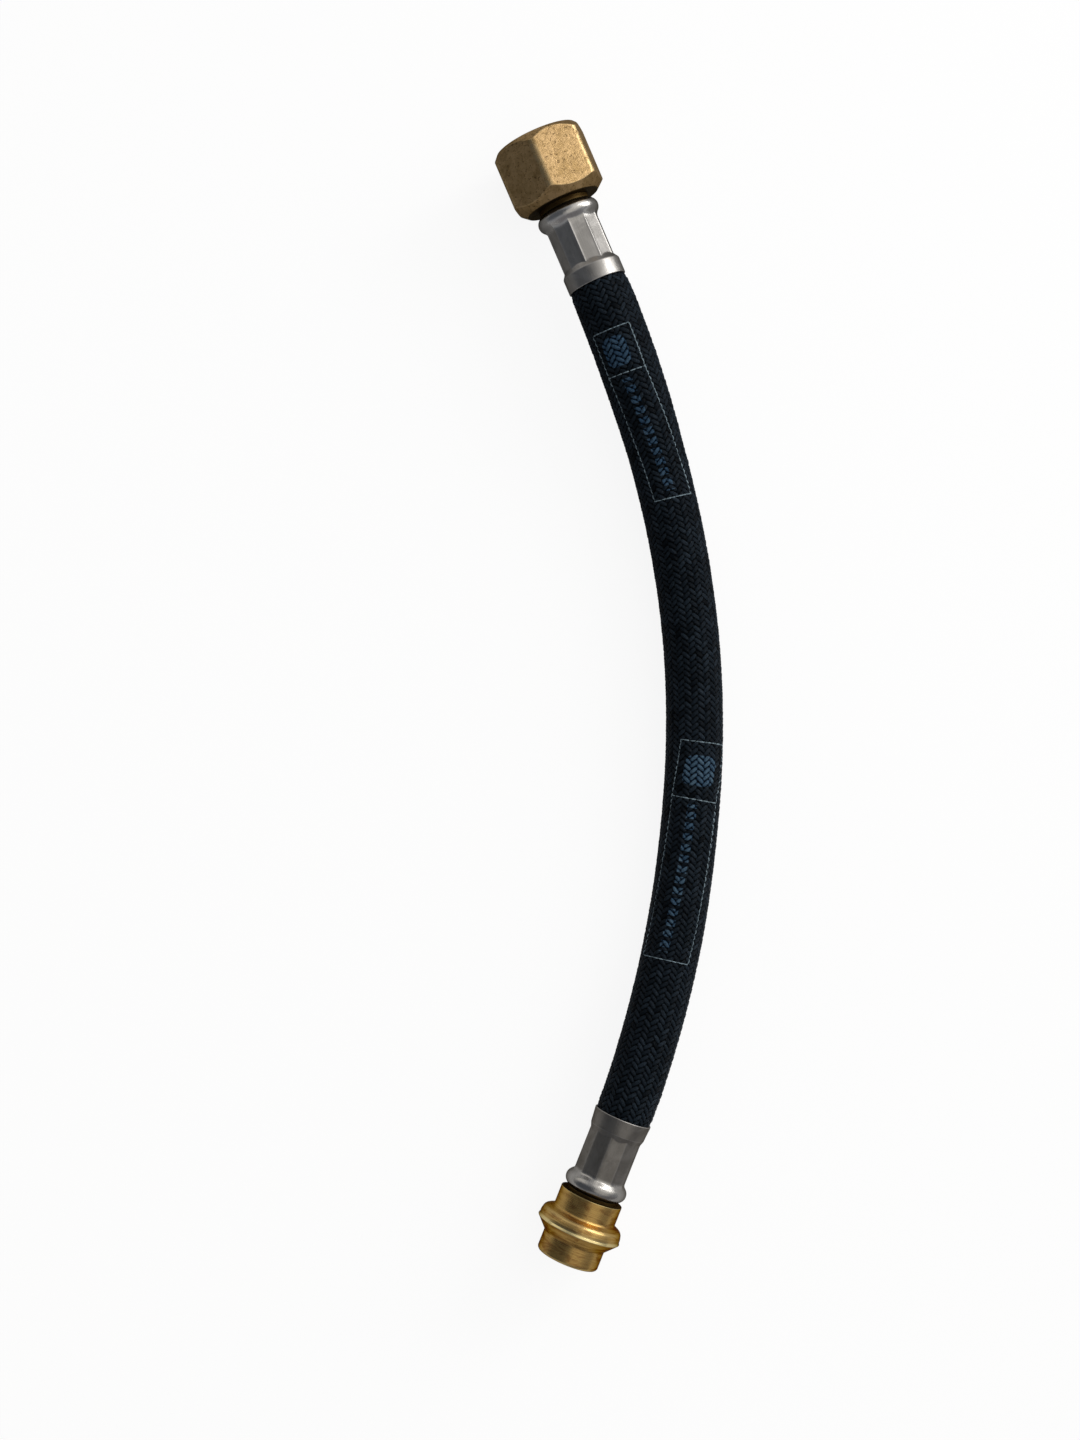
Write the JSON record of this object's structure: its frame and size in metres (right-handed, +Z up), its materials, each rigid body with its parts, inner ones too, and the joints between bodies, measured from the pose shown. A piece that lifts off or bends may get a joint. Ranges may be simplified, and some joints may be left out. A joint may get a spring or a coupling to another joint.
{
  "type": "hydraulic hose assembly",
  "caption": "Braided hydraulic hose with crimped ferrules, a swivel union nut at one end and a flanged spigot at the other, bent to one side.",
  "frame": {"origin": "on the union nut's axis, at the inner end of its thread, where the seal washer's front face lies", "axes": "+Y along the nut's axis, out of its mouth; +Z up, square to the table that the hose lies on; the hose bends towards -X"},
  "size_m": [0.1351, 0.2977, 0.0284],
  "materials": {
    "nut_brass": "worn satin",
    "insert_brass": "turned",
    "ferrule_steel": "satin",
    "seal_rubber": "matte",
    "liner_rubber": "matte",
    "braid_wire": "drawn wire",
    "cover_textile": "braided yarn"
  },
  "bodies": {
    "hose": {"nut_insert": "insert_brass", "nut_ferrule": "ferrule_steel", "hose_liner": "liner_rubber", "hose_wire_braid": "braid_wire", "hose_cover": "cover_textile", "spigot_ferrule": "ferrule_steel", "spigot_insert": "insert_brass"},
    "seal": {"seal_washer": "seal_rubber"},
    "nut": {"union_nut": "nut_brass"}
  },
  "joints": [
    {"name": "nut_slide", "type": "slide", "parent": "hose", "child": "seal", "axis": [0, -1, 0], "range_m": [0, 0.001]},
    {"name": "nut_spin", "type": "hinge", "parent": "seal", "child": "nut", "pos_m": [0, 0, 0], "axis": [0, 1, 0], "continuous": true}
  ]
}
